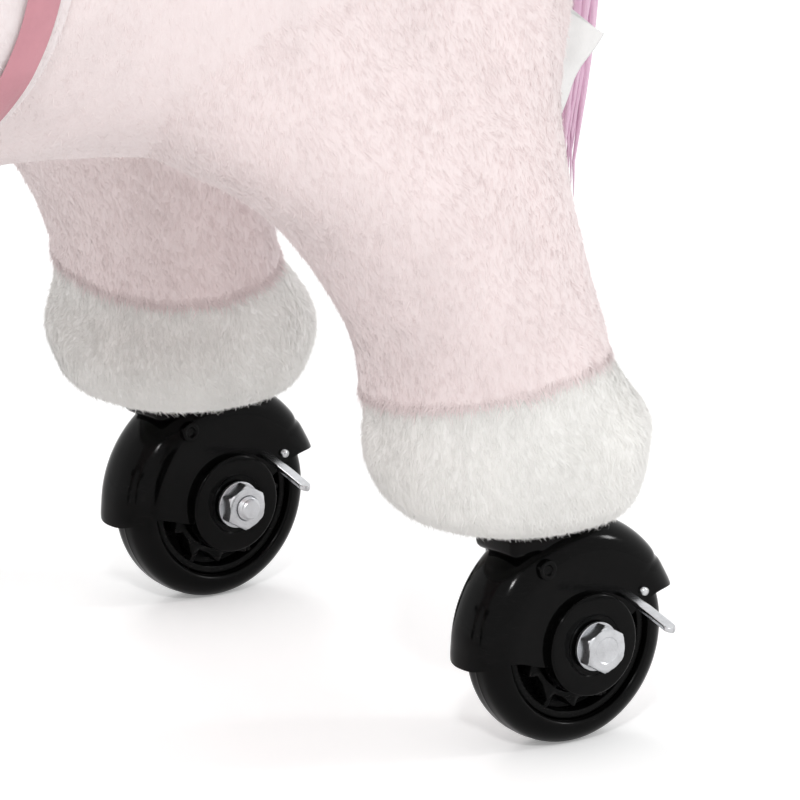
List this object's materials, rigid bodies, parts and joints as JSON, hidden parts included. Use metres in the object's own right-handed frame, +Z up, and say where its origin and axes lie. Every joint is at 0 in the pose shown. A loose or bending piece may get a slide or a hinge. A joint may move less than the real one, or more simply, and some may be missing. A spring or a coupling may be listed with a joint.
{
  "type": "plush ride on pony",
  "caption": "Plush ride on pony with sprung posting legs, ratchet wheels under black fenders, a steering neck with handles, a padded saddle and footrests.",
  "frame": {"origin": "centre of the footprint on the floor", "axes": "+Z up, -X ahead, -Y the pony's left"},
  "size_m": [0.8056, 0.3515, 0.918],
  "materials": {
    "pink_plush": "short brushed plush",
    "ivory_plush": "short plush",
    "hair": "long pile fur",
    "ribbon": "satin ribbon",
    "label": "satin",
    "saddle_pad": "padded plush",
    "foam": "foam",
    "fork_plastic": "polished black",
    "hub_plastic": "satin black",
    "tyre": "smooth black",
    "zinc": "zinc plated",
    "steel": "polished",
    "frame_paint": "satin grey",
    "grip": "ribbed",
    "plywood": "sanded",
    "eye": "glossy dark brown"
  },
  "bodies": {
    "root": {"spine_beam": "frame_paint", "torso_plush": "pink_plush", "saddle_cloth": "pink_plush", "saddle_ribbon": "ribbon", "saddle_seat": "saddle_pad", "seat_board": "plywood", "seat_foam": "foam", "rear_pivot_bolt": "zinc", "rear_spring": "steel"},
    "steering": {"steering_yoke": "frame_paint", "neck_post": "frame_paint", "handlebar": "steel", "grip_left": "grip", "grip_right": "grip", "neck_plush": "pink_plush", "head_plush": "pink_plush", "ear_left": "pink_plush", "ear_right": "pink_plush", "eye_left": "eye", "eye_right": "eye", "noseband": "ribbon", "mane": "hair", "front_pivot_bolt": "zinc", "front_spring": "steel"},
    "front_legs": {"front_leg_frame": "frame_paint", "shoulder_plush": "pink_plush", "footrest_left": "grip", "footrest_right": "grip", "front_leg_plush_left": "pink_plush", "front_hoof_left": "ivory_plush", "fork_front_left": "fork_plastic", "axle_bolt_front_left": "zinc", "front_leg_plush_right": "pink_plush", "front_hoof_right": "ivory_plush", "fork_front_right": "fork_plastic", "axle_bolt_front_right": "zinc"},
    "rear_legs": {"rear_leg_frame": "frame_paint", "rump_plush": "pink_plush", "tail": "hair", "care_label": "label", "rear_leg_plush_left": "pink_plush", "rear_hoof_left": "ivory_plush", "fork_rear_left": "fork_plastic", "axle_bolt_rear_left": "zinc", "rear_leg_plush_right": "pink_plush", "rear_hoof_right": "ivory_plush", "fork_rear_right": "fork_plastic", "axle_bolt_rear_right": "zinc"},
    "wheel_front_left": {"tyre_front_left": "tyre", "hub_front_left": "hub_plastic"},
    "ratchet_front_left": {"pawl_front_left": "steel"},
    "wheel_front_right": {"tyre_front_right": "tyre", "hub_front_right": "hub_plastic"},
    "ratchet_front_right": {"pawl_front_right": "steel"},
    "wheel_rear_left": {"tyre_rear_left": "tyre", "hub_rear_left": "hub_plastic"},
    "ratchet_rear_left": {"pawl_rear_left": "steel"},
    "wheel_rear_right": {"tyre_rear_right": "tyre", "hub_rear_right": "hub_plastic"},
    "ratchet_rear_right": {"pawl_rear_right": "steel"}
  },
  "joints": [
    {"name": "steer_yaw", "type": "hinge", "parent": "root", "child": "steering", "pos_m": [-0.1407, 0, 0.523], "axis": [0, 0, 1], "range_deg": [-12, 12]},
    {"name": "front_leg_swing", "type": "hinge", "parent": "steering", "child": "front_legs", "pos_m": [-0.1407, 0, 0.4], "axis": [0, 1, 0], "range_deg": [0, 8], "stiffness_Nm_per_rad": 20, "springref_deg": -14.32},
    {"name": "rear_leg_swing", "type": "hinge", "parent": "root", "child": "rear_legs", "pos_m": [0.1693, 0, 0.5], "axis": [0, -1, 0], "range_deg": [0, 8], "stiffness_Nm_per_rad": 30, "springref_deg": -22.92},
    {"name": "wheel_front_left_spin", "type": "hinge", "parent": "front_legs", "child": "wheel_front_left", "pos_m": [-0.2007, -0.123, 0.043], "axis": [0, 1, 0], "continuous": true},
    {"name": "pawl_front_left_lift", "type": "hinge", "parent": "front_legs", "child": "ratchet_front_left", "pos_m": [-0.1745, -0.123, 0.0598], "axis": [0, 1, 0], "range_deg": [0, 8], "stiffness_Nm_per_rad": 0.05, "springref_deg": -11.46},
    {"name": "wheel_front_right_spin", "type": "hinge", "parent": "front_legs", "child": "wheel_front_right", "pos_m": [-0.2007, 0.123, 0.043], "axis": [0, 1, 0], "continuous": true},
    {"name": "pawl_front_right_lift", "type": "hinge", "parent": "front_legs", "child": "ratchet_front_right", "pos_m": [-0.1745, 0.123, 0.0598], "axis": [0, 1, 0], "range_deg": [0, 8], "stiffness_Nm_per_rad": 0.05, "springref_deg": -11.46},
    {"name": "wheel_rear_left_spin", "type": "hinge", "parent": "rear_legs", "child": "wheel_rear_left", "pos_m": [0.2993, -0.123, 0.043], "axis": [0, 1, 0], "continuous": true},
    {"name": "pawl_rear_left_lift", "type": "hinge", "parent": "rear_legs", "child": "ratchet_rear_left", "pos_m": [0.3255, -0.123, 0.0598], "axis": [0, 1, 0], "range_deg": [0, 8], "stiffness_Nm_per_rad": 0.05, "springref_deg": -11.46},
    {"name": "wheel_rear_right_spin", "type": "hinge", "parent": "rear_legs", "child": "wheel_rear_right", "pos_m": [0.2993, 0.123, 0.043], "axis": [0, 1, 0], "continuous": true},
    {"name": "pawl_rear_right_lift", "type": "hinge", "parent": "rear_legs", "child": "ratchet_rear_right", "pos_m": [0.3255, 0.123, 0.0598], "axis": [0, 1, 0], "range_deg": [0, 8], "stiffness_Nm_per_rad": 0.05, "springref_deg": -11.46}
  ]
}
